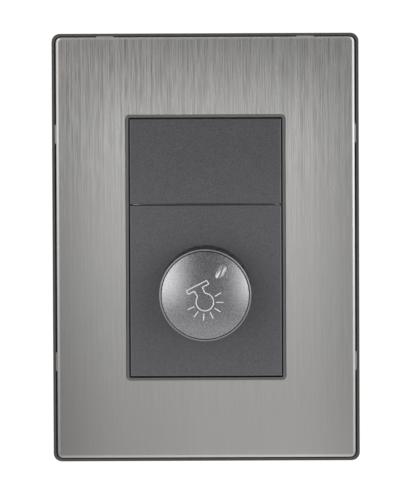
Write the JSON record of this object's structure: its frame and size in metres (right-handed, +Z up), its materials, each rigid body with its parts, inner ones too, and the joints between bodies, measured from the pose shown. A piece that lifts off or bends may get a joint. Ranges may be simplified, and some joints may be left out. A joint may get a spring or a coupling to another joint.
{
  "type": "rotary light dimmer wall plate",
  "caption": "Upright modular wall plate with a brushed metal face, a blank module, and a dimmer module with a fluted turning knob.",
  "frame": {"origin": "centre of the plate's height and width, on the wall's surface (back of the mounting frame)", "axes": "+Z up the wall, +X to the right seen from the front, +Y into the wall, so the front faces -Y"},
  "size_m": [0.086, 0.0524, 0.12],
  "materials": {
    "aluminium": "plain",
    "black_epoxy": "moulded epoxy",
    "board_laminate": "paper laminate",
    "brass": "plain",
    "brushed_steel": "brushed upright",
    "cap_silver": "metallic silver-grey paint",
    "capacitor_box": "moulded box",
    "capacitor_dip": "dipped",
    "carbon_track": "carbon film",
    "carrier_plastic": "fine matt",
    "clear_glass": "clear",
    "enamelled_copper": "enamelled wire",
    "fascia_plastic": "metallic-flake paint, satin",
    "ferrite": "coated iron powder",
    "foam_tape": "foam",
    "frame_nylon": "moulded",
    "housing_plastic": "moulded",
    "knob_plastic": "satin",
    "phenolic": "pressed laminate",
    "resistor_body": "lacquered",
    "zinc_steel": "zinc plated"
  },
  "bodies": {
    "wall_part": {"blank_insert": "fascia_plastic", "choke_core": "ferrite", "choke_winding": "enamelled_copper", "circuit_board": "board_laminate", "control_bush": "brass", "control_can": "zinc_steel", "control_nut": "zinc_steel", "control_pin_left": "brass", "control_pin_middle": "brass", "control_pin_right": "brass", "control_washer": "zinc_steel", "diac": "black_epoxy", "dimmer_fascia": "fascia_plastic", "dimmer_housing": "housing_plastic", "fixing_screw_bottom": "zinc_steel", "fixing_screw_top": "zinc_steel", "fuse_cap_left": "zinc_steel", "fuse_cap_right": "zinc_steel", "fuse_clip_left": "brass", "fuse_clip_right": "brass", "fuse_glass": "clear_glass", "heat_sink": "aluminium", "housing_screw_low_left": "zinc_steel", "housing_screw_low_right": "zinc_steel", "housing_screw_top_left": "zinc_steel", "housing_screw_top_right": "zinc_steel", "mounting_frame": "frame_nylon", "resistance_track": "carbon_track", "resistor_filter": "resistor_body", "resistor_fixed": "resistor_body", "suppression_capacitor": "capacitor_box", "switch_case": "phenolic", "switch_contact_left": "brass", "switch_contact_right": "brass", "terminal_clamp_1": "brass", "terminal_clamp_2": "brass", "terminal_clamp_3": "brass", "terminal_screw_1": "zinc_steel", "terminal_screw_2": "zinc_steel", "terminal_screw_3": "zinc_steel", "timing_capacitor": "capacitor_dip", "track_wafer": "phenolic", "triac": "black_epoxy", "triac_nut": "zinc_steel", "triac_screw": "zinc_steel"},
    "cover": {"carrier_frame": "carrier_plastic", "face_plate": "brushed_steel", "face_tape": "foam_tape"},
    "knob": {"knob_body": "knob_plastic", "knob_cap": "cap_silver", "knob_spring_clip": "zinc_steel", "spindle": "aluminium", "spindle_circlip": "zinc_steel", "wiper_rotor": "frame_nylon", "wiper_contact": "brass"},
    "switch_toggle": {"switch_lever": "frame_nylon", "bridge_contact": "brass"}
  },
  "joints": [
    {"name": "knob_turn", "type": "hinge", "parent": "wall_part", "child": "knob", "pos_m": [0, -0.0175, -0.012], "axis": [0, 1, 0], "range_deg": [-184, 116]},
    {"name": "switch_toggle_throw", "type": "hinge", "parent": "wall_part", "child": "switch_toggle", "pos_m": [0, 0.003, -0.00675], "axis": [0, 1, 0], "range_deg": [-15, 15]},
    {"name": "cover_release", "type": "slide", "parent": "wall_part", "child": "cover", "axis": [0, -1, 0], "range_m": [0, 0.03]}
  ]
}
